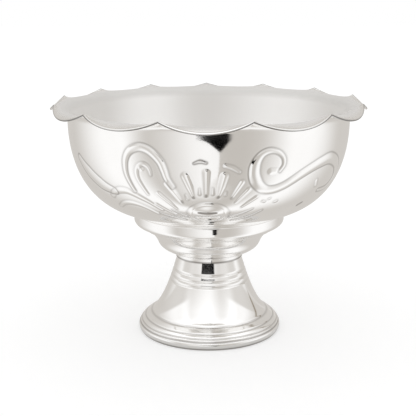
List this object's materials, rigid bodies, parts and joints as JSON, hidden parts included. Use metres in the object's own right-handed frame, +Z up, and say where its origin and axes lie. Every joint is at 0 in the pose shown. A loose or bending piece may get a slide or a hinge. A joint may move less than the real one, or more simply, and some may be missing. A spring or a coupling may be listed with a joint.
{
  "type": "offering bowl",
  "caption": "Footed bowl of polished plated sheet with a scalloped lip and pressed scroll ornament, joined by a collar to a bell foot; holds offerings.",
  "frame": {"origin": "centre of the base, on the surface that the bowl stands on", "axes": "+Z up along the axis of the bowl, -Y towards the front lobe of the lip and the fan ornament, +X to the viewer's right"},
  "size_m": [0.1986, 0.1974, 0.151],
  "materials": {
    "bowl_silver": "polished silver plate",
    "collar_silver": "polished silver plate",
    "foot_silver": "polished silver plate",
    "fastener_brass": "turned, unpolished",
    "washer_steel": "zinc plated"
  },
  "bodies": {
    "root": {"bowl_shell": "bowl_silver", "collar": "collar_silver", "foot": "foot_silver", "stud": "fastener_brass", "backing_washer": "washer_steel", "lock_washer": "washer_steel", "hex_nut": "fastener_brass"}
  },
  "joints": []
}
